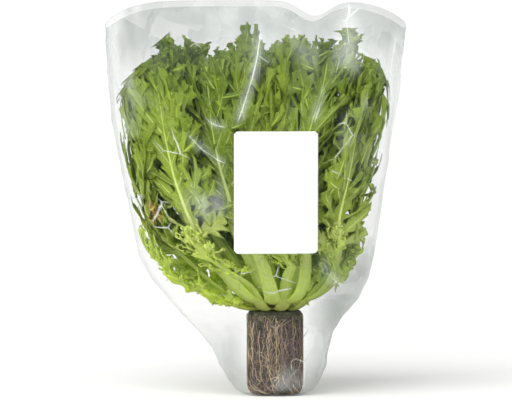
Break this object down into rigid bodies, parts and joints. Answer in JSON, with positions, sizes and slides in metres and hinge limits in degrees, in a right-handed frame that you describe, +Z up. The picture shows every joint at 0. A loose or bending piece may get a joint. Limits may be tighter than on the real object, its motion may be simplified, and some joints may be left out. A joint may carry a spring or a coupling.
{
  "type": "curly endive head",
  "caption": "Living curly endive head: frilled green leaves on a short stem over its peat plug and root mat, gathered upright in a clear film sleeve with a blank label.",
  "frame": {"origin": "centre of the sleeve's flat foot, under the root plug, where the head stands", "axes": "+Z up along the plug and stem, -Y towards the label at the front"},
  "size_m": [0.266, 0.194, 0.336],
  "materials": {
    "leaf": "satin",
    "stem": "satin",
    "peat": "matte",
    "roots": "matte",
    "film": "gloss",
    "label": "satin"
  },
  "bodies": {
    "root": {"leaf_skirt_1": "leaf", "leaf_skirt_2": "leaf", "leaf_skirt_3": "leaf", "leaf_skirt_4": "leaf", "leaf_skirt_5": "leaf", "leaf_skirt_6": "leaf", "leaf_skirt_7": "leaf", "leaf_skirt_8": "leaf", "leaf_outer_1": "leaf", "leaf_outer_2": "leaf", "leaf_outer_3": "leaf", "leaf_outer_4": "leaf", "leaf_outer_5": "leaf", "leaf_outer_6": "leaf", "leaf_outer_7": "leaf", "leaf_outer_8": "leaf", "leaf_outer_9": "leaf", "leaf_outer_10": "leaf", "leaf_outer_11": "leaf", "leaf_second_1": "leaf", "leaf_second_2": "leaf", "leaf_second_3": "leaf", "leaf_second_4": "leaf", "leaf_second_5": "leaf", "leaf_second_6": "leaf", "leaf_second_7": "leaf", "leaf_second_8": "leaf", "leaf_second_9": "leaf", "leaf_third_1": "leaf", "leaf_third_2": "leaf", "leaf_third_3": "leaf", "leaf_third_4": "leaf", "leaf_third_5": "leaf", "leaf_third_6": "leaf", "leaf_third_7": "leaf", "leaf_fourth_1": "leaf", "leaf_fourth_2": "leaf", "leaf_fourth_3": "leaf", "leaf_fourth_4": "leaf", "leaf_fourth_5": "leaf", "leaf_inner_1": "leaf", "leaf_inner_2": "leaf", "leaf_inner_3": "leaf", "leaf_inner_4": "leaf", "leaf_heart_1": "leaf", "leaf_heart_2": "leaf", "stem": "stem", "peat_plug": "peat", "root_mat": "roots", "film_sleeve": "film", "label": "label"}
  },
  "joints": []
}
